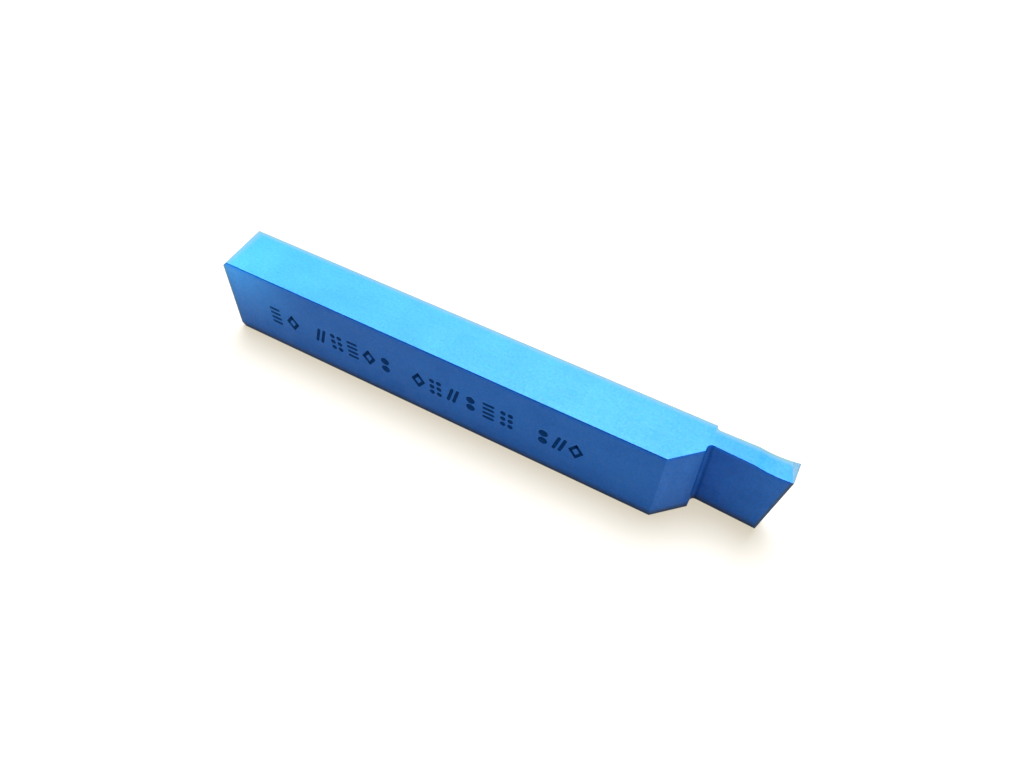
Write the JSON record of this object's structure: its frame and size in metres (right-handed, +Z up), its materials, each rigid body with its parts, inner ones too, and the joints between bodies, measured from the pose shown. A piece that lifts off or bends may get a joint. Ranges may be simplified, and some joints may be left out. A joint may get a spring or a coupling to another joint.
{
  "type": "parting lathe tool",
  "caption": "One-piece parting tool for a lathe: a painted rectangular steel bar whose front end is ground down to a narrow upright blade.",
  "frame": {"origin": "under the middle of the overall length, on the bottom face of the bar and midway across its width", "axes": "+X along the bar towards the cutting edge, +Y across the bar to the side away from the shoulder bevel, +Z up through the bar's height"},
  "size_m": [0.125, 0.012, 0.02],
  "materials": {
    "painted_tool": "thin blue enamel over ground tool steel, satin gloss"
  },
  "bodies": {
    "root": {"parting_tool": "painted_tool"}
  },
  "joints": []
}
